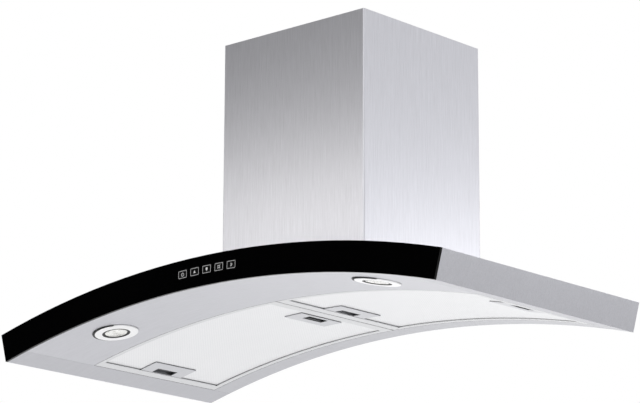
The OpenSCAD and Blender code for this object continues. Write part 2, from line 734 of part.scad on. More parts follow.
module hanging_plate() color("lightgray") difference() {
    block([-box_w / 2 + 5, -hanger_t, -wall_hole_z / 2 - hanger_rim],
        [box_w / 2 - 5, 0, wall_hole_z / 2 + hanger_rim]);
    for (x = [-1, 1], z = [-1, 1]) translate([x * wall_hole_x / 2, -hanger_t - cut, z * wall_hole_z / 2])
        rod_y(wall_hole_d / 2, hanger_t + 2 * cut, $fn = 48);
}

// Chimney
// Sheet bent round three sides, with folds against the wall
module cover_outline(w, d, bend) difference() {
    translate([0, -d / 2]) round_plate(w, d, bend);
    translate([0, -d / 2]) round_plate(w - 2 * sheet, d - 2 * sheet, max(bend - sheet, 0.3));
    translate([-w / 2 + wall_fold, -2 * sheet]) square([w - 2 * wall_fold, 3 * sheet]);
}

module lower_chimney() color("silver") difference() {
    translate([0, 0, crown_z - under_crown])
        linear_extrude(chimney_h + under_crown) cover_outline(chimney_w, chimney_d, chimney_bend);
    under_canopy(out_r + seat_gap);
}

// The upper cover stands on the canopy, inside the lower one
module upper_chimney() color("silver") difference() {
    in = sheet + cover_gap;
    translate([0, -in, crown_z - under_crown]) linear_extrude(chimney_h + under_crown - upper_sink)
        cover_outline(chimney_w - 2 * in, chimney_d - 2 * in, chimney_bend);
    under_canopy(out_r + run_gap);
}

top_skin();
front_channel();
back_channel();
end_panel(-1);  // end_panel_left
end_panel(1);  // end_panel_right
lamp_panel();
side_strip(-1);  // side_strip_left
side_strip(1);  // side_strip_right
rear_strip();
filter_crossbar();
glass_fascia();
key_carrier();
control_board();
lamp_ring(-1);  // lamp_ring_left
lamp_ring(1);  // lamp_ring_right
lamp_lens(-1);  // lamp_lens_left
lamp_lens(1);  // lamp_lens_right
lamp_body(-1);  // lamp_body_left
lamp_body(1);  // lamp_body_right
lamp_driver();
blower_box();
scroll_half(-1);  // scroll_left
scroll_half(1);  // scroll_right
motor();
motor_spider();
capacitor();
junction_box();
junction_cover();
cord_gland();
outlet_collar();
damper_pin();
hanging_plate();
lower_chimney();
blower_screws();
filter_frame(-1);  // filter_frame_left
filter_frame(1);  // filter_frame_right
filter_mesh(-1);  // filter_mesh_left
filter_mesh(1);  // filter_mesh_right
filter_media(-1);  // filter_media_left
filter_media(1);  // filter_media_right
at_outer(-1) handle();  // handle_outer_left
at_inner(-1) handle(left_open_off);  // handle_inner_left
at_outer(1) handle();  // handle_outer_right
at_inner(1) handle();  // handle_inner_right
at_outer(-1) latch_outer();  // latch_outer_left
at_inner(-1) latch_inner(-1, left_open_off);  // latch_inner_left
at_outer(1) latch_outer();  // latch_outer_right
at_inner(1) latch_inner(1);  // latch_inner_right
key(0);  // key_1
key(1);  // key_2
key(2);  // key_3
key(3);  // key_4
key(4);  // key_5
impeller();
motor_shaft();
damper_flap(-1);  // damper_flap_left
damper_flap(1);  // damper_flap_right
upper_chimney();
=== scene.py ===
"""Wall mount range hood: the finish of every sheet, the keys and lamps made anew, and the studio."""
import math

import bmesh
import bpy
from mathutils import Matrix, Vector


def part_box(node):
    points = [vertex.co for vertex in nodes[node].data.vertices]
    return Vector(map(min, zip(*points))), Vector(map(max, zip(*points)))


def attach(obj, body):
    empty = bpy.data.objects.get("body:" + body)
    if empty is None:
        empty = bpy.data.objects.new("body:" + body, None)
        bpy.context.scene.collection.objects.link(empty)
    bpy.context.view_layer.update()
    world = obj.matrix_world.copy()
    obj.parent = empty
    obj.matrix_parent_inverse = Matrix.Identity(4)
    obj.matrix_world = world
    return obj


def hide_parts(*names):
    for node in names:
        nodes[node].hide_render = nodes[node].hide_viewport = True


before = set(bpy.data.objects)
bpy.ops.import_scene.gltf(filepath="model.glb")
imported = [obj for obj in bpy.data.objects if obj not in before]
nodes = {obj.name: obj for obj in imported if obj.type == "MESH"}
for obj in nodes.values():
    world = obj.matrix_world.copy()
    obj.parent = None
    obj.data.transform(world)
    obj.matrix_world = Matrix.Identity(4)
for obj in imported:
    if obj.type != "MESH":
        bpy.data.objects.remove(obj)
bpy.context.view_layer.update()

MM = 0.001
SIDES = ("left", "right")
ENDS = ("outer", "inner")
KEYS = ["key_%d" % number for number in range(1, 6)]

# The arch of the canopy: its rise and thickness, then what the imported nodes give
ARCH_RISE = 60 * MM
CANOPY_T = 46 * MM
CROWN_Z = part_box("top_skin")[1].z
HALF_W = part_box("end_panel_right")[1].x
OUT_R = (HALF_W ** 2 + ARCH_RISE ** 2) / (2 * ARCH_RISE)
IN_R = OUT_R - CANOPY_T
ARCH_Z = CROWN_Z - OUT_R
GLASS_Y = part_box("glass_fascia")[0].y

# Camera, fitted to the edges and corners of the photographed hood: place in metres, angles in degrees
CAMERA_AT = (2.96685, -3.52318, -1.1515)
CAMERA_TURN = 41.884
CAMERA_RISE = 14.536
CAMERA_ROLL = 0.201
CAMERA_LENS = 165.61
SENSOR_W = 36.0
CLIP_START = 0.05


# Shader nodes

def feed(tree, node, values):
    """Feeds inputs of a node, by name or number, each with a plain value or another node's socket."""
    for name, value in values.items():
        socket = node.inputs[name]
        if isinstance(value, bpy.types.NodeSocket):
            tree.links.new(value, socket)
        else:
            socket.default_value = value


def add(tree, kind, values=None, **settings):
    """A new shader node with its settings and what feeds its inputs."""
    made = tree.nodes.new(kind)
    for name, value in settings.items():
        setattr(made, name, value)
    feed(tree, made, values or {})
    return made


def object_place(tree):
    return add(tree, "ShaderNodeTexCoord").outputs["Object"]


def math_node(tree, operation, a, b):
    return add(tree, "ShaderNodeMath", {0: a, 1: b}, operation=operation).outputs[0]


def times(tree, a, b):
    return math_node(tree, "MULTIPLY", a, b)


def remap(tree, value, low, high, to_low, to_high, curve="LINEAR"):
    """A value moved from one span to another, and held at its ends."""
    values = {"Value": value, "From Min": low, "From Max": high, "To Min": to_low, "To Max": to_high}
    return add(tree, "ShaderNodeMapRange", values, interpolation_type=curve).outputs["Result"]


# Sockets of the Mix node by number, because their names repeat
MIX_FACTOR, MIX_FLOATS, MIX_COLOURS = 0, (2, 3), (6, 7)
MIXED_FLOAT, MIXED_COLOUR = 0, 2


def mix_float(tree, factor, a, b):
    values = {MIX_FACTOR: factor, **dict(zip(MIX_FLOATS, (a, b)))}
    return add(tree, "ShaderNodeMix", values, data_type="FLOAT").outputs[MIXED_FLOAT]


def mix_colour(tree, factor, a, b):
    values = {MIX_FACTOR: factor, **dict(zip(MIX_COLOURS, (a, b)))}
    return add(tree, "ShaderNodeMix", values, data_type="RGBA").outputs[MIXED_COLOUR]


def noise(tree, place, scale, detail, **more):
    """Noise from 0 to 1 at a place, with its other inputs given by their names."""
    values = {"Vector": place, "Scale": scale, "Detail": detail, **more}
    return add(tree, "ShaderNodeTexNoise", values).outputs["Fac"]


def bump(tree, height, strength, depth, **more):
    """The normal of a relief whose depth is in millimetres."""
    values = {"Height": height, "Strength": strength, "Distance": depth * MM, **more}
    return add(tree, "ShaderNodeBump", values).outputs["Normal"]


# Effects that several finishes share, each a shader group

FLOAT, VECTOR = "NodeSocketFloat", "NodeSocketVector"


def new_group(name, inputs, outputs):
    """A shader group with named sockets, its inputs with defaults. Returns it with its two ends."""
    group = bpy.data.node_groups.new(name, "ShaderNodeTree")
    for label, kind, default in inputs:
        socket = group.interface.new_socket(name=label, in_out="INPUT", socket_type=kind)
        socket.default_value = default
    for label, kind in outputs:
        group.interface.new_socket(name=label, in_out="OUTPUT", socket_type=kind)
    return group, group.nodes.new("NodeGroupInput"), group.nodes.new("NodeGroupOutput")


def brushed_grain_group():
    """Streaks of a belt finish, drawn out by the stretch, three parts fine to one part broad."""
    group, given, out = new_group(
        "Brushed grain",
        [("Stretch", VECTOR, (1, 1, 1)), ("Streaks per metre", FLOAT, 900.0)],
        [("Tone", FLOAT), ("Height", FLOAT)])
    streaks = given.outputs["Streaks per metre"]
    drawn = add(group, "ShaderNodeVectorMath", {0: object_place(group), 1: given.outputs["Stretch"]},
                operation="MULTIPLY").outputs[0]
    fine = noise(group, drawn, streaks, 3.0, Roughness=0.75)
    broad = noise(group, drawn, times(group, streaks, 0.4), 2.0)
    tone = math_node(group, "ADD", times(group, fine, 0.75), times(group, broad, 0.25))
    feed(group, out, {"Tone": tone, "Height": fine})
    return group


def edge_catch_group():
    """Mask of sharp edges, and a normal that rounds them so that they catch the light."""
    group, given, out = new_group(
        "Edge catch", [("Radius", FLOAT, 0.0006)], [("Mask", FLOAT), ("Normal", VECTOR)])
    bevel = add(group, "ShaderNodeBevel", {"Radius": given.outputs["Radius"]}, samples=4)
    rounded_normal = bevel.outputs["Normal"]
    plain_normal = add(group, "ShaderNodeNewGeometry").outputs["Normal"]
    likeness = add(group, "ShaderNodeVectorMath", {0: rounded_normal, 1: plain_normal},
                   operation="DOT_PRODUCT").outputs["Value"]
    feed(group, out, {"Mask": remap(group, likeness, 0.98, 0.8, 0.0, 1.0), "Normal": rounded_normal})
    return group


def crevice_group():
    """Shade that gathers where surfaces come close together: 1 in the crevice, 0 in the open."""
    group, given, out = new_group("Crevice shade", [("Reach", FLOAT, 0.003)], [("Mask", FLOAT)])
    openness = add(group, "ShaderNodeAmbientOcclusion", {"Distance": given.outputs["Reach"]},
                   samples=8).outputs["AO"]
    feed(group, out, {"Mask": remap(group, openness, 0.55, 0.85, 1.0, 0.0)})
    return group


def handling_group():
    """Marks of wiping and handling: broad soft clouds, and smears nine times finer."""
    group, given, out = new_group(
        "Handling marks", [("Scale", FLOAT, 6.0)], [("Cloud", FLOAT), ("Smear", FLOAT)])
    place, scale = object_place(group), given.outputs["Scale"]
    cloud = noise(group, place, scale, 5.0, Roughness=0.6)
    smear = noise(group, place, times(group, scale, 9.0), 3.0, Distortion=1.5)
    feed(group, out, {"Cloud": cloud, "Smear": remap(group, smear, 0.45, 0.75, 0.0, 1.0)})
    return group


def mesh_lattice_group():
    """Staggered openings of a stretched metal mesh, on the horizontal plane."""
    group, given, out = new_group(
        "Mesh lattice", [("Pitch", FLOAT, 0.003)], [("Opening", FLOAT), ("Height", FLOAT)])
    turned = add(group, "ShaderNodeVectorRotate",
                 {"Vector": object_place(group), "Angle": math.radians(45)},
                 rotation_type="Z_AXIS").outputs[0]
    scale = math_node(group, "DIVIDE", 1.0, given.outputs["Pitch"])
    cells = add(group, "ShaderNodeTexVoronoi", {"Vector": turned, "Scale": scale, "Randomness": 0.0},
                voronoi_dimensions="2D")
    off_middle = cells.outputs["Distance"]
    feed(group, out, {"Opening": remap(group, off_middle, 0.22, 0.32, 1.0, 0.0),
                      "Height": remap(group, off_middle, 0.15, 0.5, 0.0, 1.0)})
    return group


GRAIN = brushed_grain_group()
EDGE = edge_catch_group()
CREVICE_SHADE = crevice_group()
HANDLING = handling_group()
LATTICE = mesh_lattice_group()


def use(tree, group, **values):
    """The outputs of a placed group, its inputs set by name with underscores for spaces."""
    spaced = {name.replace("_", " "): value for name, value in values.items()}
    return add(tree, "ShaderNodeGroup", spaced, node_tree=group).outputs


# Finishes

# Spans of the noise that count: what lies outside one is held at its end
GRAIN_SPAN = (0.3, 0.7)
CLOUD_SPAN = (0.35, 0.65)
# On every metal: tone and share of the clouds, of the painted highlight on its edges, and tone and reach
# of the painted shade in its crevices
CLOUD_TONE, CLOUD_SHARE = 0.96, 0.16
EDGE_HIGHLIGHT_TONE, EDGE_HIGHLIGHT_SHARE = 1.25, 0.5
CREVICE_SHADE_TONE, CREVICE_SHADE_REACH = 0.12, 0.003
# On every plastic: the tones of its clouds, and tone and share of its paler edges
MOULD_TONES = (0.88, 1.12)
PALE_EDGE_TONE, PALE_EDGE_SHARE = 1.6, 0.35


def new_material(name):
    """A material with nodes. Returns the material, its tree and its Principled shader."""
    material = bpy.data.materials.new(name)
    material.use_nodes = True
    return material, material.node_tree, material.node_tree.nodes["Principled BSDF"]


def shade(colour, factor):
    """The colour made darker or paler, with its alpha."""
    return tuple(min(1.0, part * factor) for part in colour) + (1.0,)


def metal(name, colour, roughness, stretch, streaks, contrast, relief=0.02, edge=0.0006,
          crevice=0.0, swing=0.15, smear=0.03):
    """Sheet, cast or turned metal, with a grain in its tone, roughness and relief.

    It has clouds of handling, a painted highlight on its edges, and painted shade in its crevices as dark
    as asked for.
    Contrast is how far the grain changes the tone, and swing the roughness. Relief is in millimetres, edge
    in metres.
    """
    material, tree, shader = new_material(name)
    grain = use(tree, GRAIN, Stretch=stretch, Streaks_per_metre=streaks)
    marks = use(tree, HANDLING, Scale=5.0)
    edges = use(tree, EDGE, Radius=edge)
    streaked = mix_colour(tree, remap(tree, grain["Tone"], *GRAIN_SPAN, 0.0, 1.0),
                          shade(colour, 1 - contrast), shade(colour, 1 + contrast))
    clouded = mix_colour(tree, remap(tree, marks["Cloud"], *CLOUD_SPAN, 0.0, CLOUD_SHARE),
                         streaked, shade(colour, CLOUD_TONE))
    # Painted highlight: the tone lifted to a paler copy of the colour on sharp edges
    tone = mix_colour(tree, times(tree, edges["Mask"], EDGE_HIGHLIGHT_SHARE), clouded, shade(colour, EDGE_HIGHLIGHT_TONE))
    # Painted shade: where surfaces come close together, the tone is darkened by the share given
    if crevice:
        painted_shade = use(tree, CREVICE_SHADE, Reach=CREVICE_SHADE_REACH)
        tone = mix_colour(tree, times(tree, painted_shade["Mask"], crevice), tone, shade(colour, CREVICE_SHADE_TONE))
    rough = remap(tree, grain["Tone"], *GRAIN_SPAN, roughness * (1 - swing), roughness * (1 + swing))
    feed(tree, shader, {
        "Base Color": tone, "Metallic": 1.0,
        "Roughness": math_node(tree, "ADD", rough, times(tree, marks["Smear"], smear)),
        "Normal": bump(tree, grain["Height"], 0.1, relief, Normal=edges["Normal"])})
    return material


def plastic(name, colour, roughness, texture_scale=900.0, relief=0.03, edge=0.0005, specular=0.5):
    """Moulded plastic or paint: a fine texture in roughness and relief, soft clouds and paler edges."""
    material, tree, shader = new_material(name)
    marks = use(tree, HANDLING, Scale=12.0)
    edges = use(tree, EDGE, Radius=edge)
    texture = noise(tree, object_place(tree), texture_scale, 2.0)
    tone = mix_colour(tree, marks["Cloud"], *(shade(colour, factor) for factor in MOULD_TONES))
    pale_edged = mix_colour(tree, times(tree, edges["Mask"], PALE_EDGE_SHARE), tone, shade(colour, PALE_EDGE_TONE))
    feed(tree, shader, {
        "Base Color": pale_edged, "Specular IOR Level": specular,
        "Roughness": remap(tree, texture, *GRAIN_SPAN, roughness * 0.9, roughness * 1.1),
        "Normal": bump(tree, texture, 0.35, relief, Normal=edges["Normal"])})
    return material


def fascia_glass():
    """Toughened glass printed black behind: deep, polished, with the faintest wipe marks."""
    material, tree, shader = new_material("fascia glass")
    marks = use(tree, HANDLING, Scale=4.0)
    edges = use(tree, EDGE, Radius=0.0008)
    body = mix_colour(tree, times(tree, marks["Cloud"], 0.5),
                      (0.0002, 0.0002, 0.0003, 1), (0.0005, 0.0005, 0.0006, 1))
    # Painted highlight: the black lifted to a faint green-grey on the glass's edges
    edge_highlight = mix_colour(tree, times(tree, edges["Mask"], 0.3), body, (0.01, 0.014, 0.014, 1))
    feed(tree, shader, {
        "Base Color": edge_highlight, "Normal": edges["Normal"], "Specular IOR Level": 0.4,
        "Roughness": remap(tree, marks["Smear"], 0.0, 1.0, 0.02, 0.045)})
    return material


def face_mesh():
    """Bright stretched mesh over the filter, its openings a little darker than its strands."""
    material, tree, shader = new_material("filter face mesh")
    lattice = use(tree, LATTICE, Pitch=0.0028)
    marks = use(tree, HANDLING, Scale=8.0)
    painted_shade = use(tree, CREVICE_SHADE, Reach=0.0026)
    strand = mix_colour(tree, marks["Cloud"], (0.86, 0.863, 0.88, 1), (0.92, 0.922, 0.935, 1))
    netted = mix_colour(tree, lattice["Opening"], strand, (0.82, 0.825, 0.84, 1))
    # Painted shade: the mesh darkened to near black where it comes close to the frame and handles
    feed(tree, shader, {
        "Base Color": mix_colour(tree, painted_shade["Mask"], netted, (0.1, 0.1, 0.11, 1)), "Metallic": 0.85,
        "Roughness": remap(tree, lattice["Opening"], 0.0, 1.0, 0.42, 0.7),
        "Normal": bump(tree, lattice["Height"], 0.15, 0.15)})
    return material


def filter_pack():
    """Layers of stretched mesh behind the filter's face, coarser and greyer than it."""
    material, tree, shader = new_material("filter pack")
    lattice = use(tree, LATTICE, Pitch=0.0065)
    marks = use(tree, HANDLING, Scale=20.0)
    strand = mix_colour(tree, marks["Cloud"], (0.5, 0.51, 0.52, 1), (0.75, 0.76, 0.77, 1))
    feed(tree, shader, {
        "Base Color": mix_colour(tree, lattice["Opening"], strand, (0.16, 0.16, 0.17, 1)),
        "Metallic": 0.9, "Roughness": 0.5, "Normal": bump(tree, lattice["Height"], 0.8, 1.2)})
    return material


def lens_glass():
    """Pressed lamp glass over its reflector, under a polished face: facets painted warm white and grey, a
    painted reflection.
    """
    material, tree, shader = new_material("lamp glass")
    marks = use(tree, HANDLING, Scale=60.0)
    cells = add(tree, "ShaderNodeTexVoronoi",
                {"Vector": object_place(tree), "Scale": 120.0, "Randomness": 0.8})
    facet = add(tree, "ShaderNodeSeparateColor", {"Color": cells.outputs["Color"]}).outputs["Red"]
    # Painted reflection: each facet cell a random tone from grey to warm white
    facet_glints = mix_colour(tree, facet, (0.5, 0.497, 0.475, 1), (1.0, 0.995, 0.97, 1))
    tone = mix_colour(tree, times(tree, marks["Cloud"], 0.6), facet_glints, (0.97, 0.965, 0.93, 1))
    feed(tree, shader, {
        "Base Color": tone, "Metallic": 0.8, "Coat Weight": 0.5, "Coat Roughness": 0.04,
        "Roughness": remap(tree, marks["Smear"], 0.0, 1.0, 0.1, 0.25)})
    return material


def printed_mark():
    """Screen printed light grey ink on the keys."""
    material, tree, shader = new_material("key print")
    marks = use(tree, HANDLING, Scale=300.0)
    tone = mix_colour(tree, marks["Cloud"], (0.42, 0.42, 0.43, 1), (0.58, 0.58, 0.59, 1))
    feed(tree, shader, {"Base Color": tone, "Roughness": 0.5})
    return material


def board_laminate():
    """Green solder mask, with brighter tracks between its darker fields."""
    material, tree, shader = new_material("board laminate")
    cells = add(tree, "ShaderNodeTexVoronoi", {"Vector": object_place(tree), "Scale": 260.0},
                feature="DISTANCE_TO_EDGE")
    track = remap(tree, cells.outputs["Distance"], 0.04, 0.08, 1.0, 0.0)
    tone = mix_colour(tree, track, (0.01, 0.12, 0.05, 1), (0.03, 0.22, 0.1, 1))
    feed(tree, shader, {"Base Color": tone, "Roughness": 0.35})
    return material


# How the grain is drawn out: the smaller the number, the longer the streaks along that axis
EVEN = (1.0, 1.0, 1.0)
UPRIGHT = (1.0, 1.0, 0.018)
ALONG_ARCH = (0.018, 1.0, 0.018)
ALONG_X = (0.03, 1.0, 1.0)
ALONG_Y = (1.0, 0.05, 1.0)
WHEEL = (1.0, 0.2, 0.2)
TURNED = (1.0, 0.1, 0.1)
ROLLED = (0.4, 0.4, 0.4)

# Streaks per metre of a belt finish
BELT = 1600.0

# Metals: colour, roughness, how the grain is drawn out, its streaks per metre and their contrast
# The five brushed steels are one stainless sheet. Their tones differ as painted light and shade: lightest
# on the chimney and end panels, darker on the arch, darkest on the rear and side strips underneath
sheet_upright = metal("brushed steel upright", (0.7, 0.702, 0.75), 0.42, UPRIGHT, BELT, 0.13,
                      relief=0.008, swing=0.03, smear=0.006)
sheet_arch = metal("brushed steel along the arch", (0.61, 0.612, 0.648), 0.4, ALONG_ARCH, BELT, 0.12,
                   relief=0.01, crevice=0.5)
sheet_side = metal("brushed steel of the side strips", (0.555, 0.557, 0.59), 0.4, ALONG_ARCH, BELT, 0.12,
                   relief=0.01, crevice=0.7)
sheet_rear = metal("brushed steel of the rear strip", (0.58, 0.582, 0.612), 0.42, ALONG_ARCH, BELT, 0.12,
                   relief=0.01, crevice=0.7)
sheet_end = metal("brushed steel end panels", (0.69, 0.692, 0.738), 0.36, UPRIGHT, BELT, 0.13,
                  relief=0.008, swing=0.05, smear=0.01)
zinc = metal("zinc coated sheet", (0.5, 0.52, 0.54), 0.5, ROLLED, 120.0, 0.12)
frame_satin = metal("satin filter frame", (0.74, 0.745, 0.76), 0.42, ALONG_ARCH, 1800.0, 0.04,
                    relief=0.01, crevice=0.8)
handle_steel = metal("pressed handle steel", (0.65, 0.653, 0.68), 0.4, ALONG_X, 1800.0, 0.05,
                     relief=0.01, crevice=0.9)
latch_steel = metal("latch steel", (0.2, 0.202, 0.21), 0.45, ALONG_Y, 600.0, 0.1)
ring_chrome = metal("lamp ring chrome", (0.93, 0.93, 0.94), 0.32, EVEN, 300.0, 0.02,
                    relief=0.005, edge=0.0004)
cast_grey = metal("cast lamp body", (0.4, 0.4, 0.42), 0.55, EVEN, 400.0, 0.15, relief=0.2)
wheel_zinc = metal("impeller sheet", (0.48, 0.5, 0.52), 0.42, WHEEL, 300.0, 0.1)
turned_steel = metal("turned bright steel", (0.66, 0.67, 0.69), 0.22, TURNED, 900.0, 0.06)

# Plastics and paint: colour and roughness
motor_paint = plastic("motor paint", (0.09, 0.1, 0.12), 0.4)
dark_moulding = plastic("dark moulding", (0.035, 0.035, 0.038), 0.5)
grey_moulding = plastic("grey moulding", (0.12, 0.12, 0.125), 0.5)
white_moulding = plastic("white moulding", (0.72, 0.72, 0.7), 0.42)
key_moulding = plastic("key moulding", (0.0012, 0.0012, 0.0014), 0.3, texture_scale=1500.0,
                       relief=0.004, edge=0.0003, specular=0.04)
# Near black rubber for the lamp's seal rings, which stand for painted shadow
shadow_seal_rubber = plastic("lamp shadow seal rubber", (0.012, 0.012, 0.013), 0.6)

glass = fascia_glass()
mesh_finish = face_mesh()
pack_finish = filter_pack()
lens_finish = lens_glass()
key_print = printed_mark()
laminate = board_laminate()

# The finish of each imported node
FINISHES = {
    "top_skin": sheet_arch, "lamp_panel": sheet_arch, "rear_strip": sheet_rear,
    "lower_chimney": sheet_upright, "upper_chimney": sheet_upright,
    "front_channel": zinc, "back_channel": zinc, "filter_crossbar": zinc, "blower_box": zinc,
    "hanging_plate": zinc, "glass_fascia": glass, "key_carrier": dark_moulding, "control_board": laminate,
    "lamp_driver": white_moulding, "motor": motor_paint, "motor_spider": motor_paint,
    "capacitor": white_moulding, "junction_box": dark_moulding, "junction_cover": dark_moulding,
    "cord_gland": dark_moulding, "outlet_collar": dark_moulding, "damper_pin": turned_steel,
    "blower_screws": turned_steel, "impeller": wheel_zinc, "motor_shaft": turned_steel,
}
for side in SIDES:
    FINISHES["end_panel_" + side] = sheet_end
    FINISHES["side_strip_" + side] = sheet_side
    FINISHES["scroll_" + side] = grey_moulding
    FINISHES["damper_flap_" + side] = grey_moulding
    FINISHES["lamp_ring_" + side] = ring_chrome
    FINISHES["lamp_lens_" + side] = lens_finish
    FINISHES["lamp_body_" + side] = cast_grey
    FINISHES["filter_frame_" + side] = frame_satin
    FINISHES["filter_mesh_" + side] = mesh_finish
    FINISHES["filter_media_" + side] = pack_finish
    for end in ENDS:
        FINISHES["handle_%s_%s" % (end, side)] = handle_steel
        FINISHES["latch_%s_%s" % (end, side)] = latch_steel
for key in KEYS:
    FINISHES[key] = key_moulding

for name, node in nodes.items():
    node.data.materials.clear()
    node.data.materials.append(FINISHES[name])


# Shapes, in millimetres from the place that they are made at

CORNER_STEPS = 5


def rectangle(x0, y0, x1, y1):
    return [(x0, y0), (x1, y0), (x1, y1), (x0, y1)]


def rounded(corners):
    """A closed outline through corners of x, y and the radius that rounds each."""
    outline = []
    for k, (x, y, radius) in enumerate(corners):
        here, back, ahead = (Vector(corners[(k + d) % len(corners)][:2]) for d in (0, -1, 1))
        if radius == 0:
            outline.append((x, y))
            continue
        one, two = (back - here).normalized(), (ahead - here).normalized()
        half = one.angle(two) / 2
        start, end = here + one * radius / math.tan(half), here + two * radius / math.tan(half)
        middle = here + (one + two).normalized() * radius / math.sin(half)
        for step in range(CORNER_STEPS + 1):
            arm = (start - middle).lerp(end - middle, step / CORNER_STEPS)
            outline.append(tuple(middle + arm.normalized() * radius))
    return outline


def rounded_box(w, h, radius):
    return rounded([(x, y, radius) for x, y in rectangle(-w / 2, -h / 2, w / 2, h / 2)])


def arc(middle, radius, start, end, steps=20):
    """Points on an arc between two angles in degrees."""
    angles = (math.radians(start + (end - start) * k / steps) for k in range(steps + 1))
    return [(middle[0] + radius * math.cos(a), middle[1] + radius * math.sin(a)) for a in angles]


def inset(outline, amount):
    """An outline that runs anticlockwise, moved inwards."""
    moved = []
    for k in range(len(outline)):
        back, here, ahead = (Vector(outline[(k + d) % len(outline)]) for d in (-1, 0, 1))
        along = (here - back).normalized() + (ahead - here).normalized()
        across = Vector((-along.y, along.x)).normalized()
        lean = max(0.3, across.dot(Vector((-(here - back).y, (here - back).x)).normalized()))
        moved.append(tuple(here + across * amount / lean))
    return moved


def add_loops(shape, loops, place, closed=False):
    """Skins from each loop to the next, and then back to the first if closed or else over both ends."""
    rings = [[shape.verts.new(place @ (Vector(point) * MM)) for point in loop] for loop in loops]
    count = len(rings[0])
    pairs = list(zip(rings, rings[1:]))
    if closed:
        pairs.append((rings[-1], rings[0]))
    for one, two in pairs:
        for k in range(count):
            shape.faces.new((one[k], one[(k + 1) % count], two[(k + 1) % count], two[k]))
    if not closed:
        shape.faces.new(rings[0])
        shape.faces.new(rings[-1])


def add_slab(shape, outline, low, high, place, low_edge=0.0, high_edge=0.0):
    """A slab over an outline, with the edges of its low and high faces rounded."""
    loops = []
    for face, inwards, edge, turns in ((low, 1, low_edge, (90, 60, 30, 0)),
                                       (high, -1, high_edge, (0, 30, 60, 90))):
        for turn in turns if edge else (0,):
            sink = edge * (1 - math.cos(math.radians(turn)))
            lift = edge * (1 - math.sin(math.radians(turn)))
            ring = inset(outline, sink) if sink else outline
            loops.append([(x, y, face + inwards * lift) for x, y in ring])
    add_loops(shape, loops, place)


def add_lathe(shape, profile, place, steps=96, closed=True, shift=(0, 0), shifted_from=math.inf):
    """A profile of radius and height turned about z, with its outer part moved sideways by the shift."""
    loops = []
    for radius, z in profile:
        dx, dy = shift if radius > shifted_from else (0, 0)
        turns = (k * math.tau / steps for k in range(steps))
        loops.append([(dx + radius * math.cos(t), dy + radius * math.sin(t), z) for t in turns])
    add_loops(shape, loops, place, closed)


def add_stroke(shape, points, width, low, high, place, closed=False):
    """A flat drawn line of the given width, as a band between two heights."""
    loops = []
    last = len(points) - 1
    for k, point in enumerate(points):
        here = Vector(point)
        back = Vector(points[k - 1]) if k or closed else here
        ahead = Vector(points[(k + 1) % len(points)]) if k < last or closed else here
        along = (here - back).normalized() + (ahead - here).normalized()
        across = Vector((-along.y, along.x)).normalized() * width / 2
        left, right = here + across, here - across
        loops.append([(*left, low), (*right, low), (*right, high), (*left, high)])
    add_loops(shape, loops, place, closed)


# Pieces

def show(name, data):
    """A new object in the scene."""
    made = bpy.data.objects.new(name, data)
    bpy.context.scene.collection.objects.link(made)
    return made


def new_piece(name, shape, finish, body, stands_for=(), sharp_angle=32):
    """Makes a shape into a piece that rides on its body and may stand for CAD nodes."""
    bmesh.ops.recalc_face_normals(shape, faces=shape.faces)
    data = bpy.data.meshes.new(name)
    shape.to_mesh(data)
    shape.free()
    data.polygons.foreach_set("use_smooth", [True] * len(data.polygons))
    data.set_sharp_from_angle(angle=math.radians(sharp_angle))
    data.materials.append(finish)
    piece = show(name, data)
    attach(piece, body)
    if stands_for:
        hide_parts(*stands_for)


def arch_frame(angle, y, radius):
    """Matrix of a place on the arch: x along it, y into the wall, z outwards."""
    turn = Matrix.Rotation(angle, 4, "Y")
    return Matrix.Translation((0, 0, ARCH_Z)) @ turn @ Matrix.Translation((0, y, radius))


def place_of(node, y, radius=None):
    """Matrix on the arch at a node's middle and a given depth, at the node's or a given radius."""
    low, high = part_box(node)
    middle = (low + high) / 2
    across, up = middle.x, middle.z - ARCH_Z
    return arch_frame(math.atan2(across, up), y, radius or math.hypot(across, up))


# Keys: a rounded cap with its retaining rim and stem, and the print on its face

# Widths lie along the arch, and depths run into the wall from the face of the glass
KEY_W, KEY_H, KEY_CORNER, KEY_EDGE = 17.5, 12.0, 1.2, 0.35
KEY_FACE, RIM_FACE, RIM_BACK = -0.37, 4.3, 5.5
RIM_W, RIM_H, RIM_CORNER, RIM_EDGE = KEY_W + 2, KEY_H + 2, 1.6, 0.2
STEM_R, STEM_TIP_R, STEM_TAPER, STEM_STEPS = 2.0, 1.6, 0.4, 32
PRINT_FACE = -0.4
BORDER_W, BORDER_H, BORDER_CORNER, BORDER_LINE = KEY_W - 1.3, KEY_H - 1.3, 1.0, 0.5
SIGN_LINE = 0.75

# Turns an outline's x and y onto the arch's x and z, and its heights into the wall
FACE_ON = Matrix(((1, 0, 0, 0), (0, 0, 1, 0), (0, 1, 0, 0), (0, 0, 0, 1)))

# Generic signs, from the key's middle: drawn lines, then filled outlines
POWER = ([arc((0, -0.2), 2.5, 125, 415)], [rectangle(-0.35, 0.2, 0.35, 2.9)])
TRIANGLE = ([], [[(-2.3, -1.9), (2.3, -1.9), (0, 2.2)]])
DOT_OVER_BAR = ([], [arc((0, 0.6), 2.1, 0, 342, 19), rectangle(-1.0, -2.6, 1.0, -1.8)])
RAYS = [[(1.9, 1.9), (2.9, 2.7)], [(-1.9, 1.9), (-2.6, 2.5)],
        [(1.9, -1.9), (2.6, -2.5)], [(-1.9, -1.9), (-2.6, -2.5)]]
RING_WITH_RAYS = ([arc((0, 0), 1.9, 0, 360)] + RAYS, [])
OPEN_RING_AND_CIRCLE = ([arc((-0.2, 0), 2.1, 110, -130), arc((0.3, 1.0), 0.9, 0, 360)], [])
KEY_SIGNS = (POWER, TRIANGLE, DOT_OVER_BAR, RING_WITH_RAYS, OPEN_RING_AND_CIRCLE)


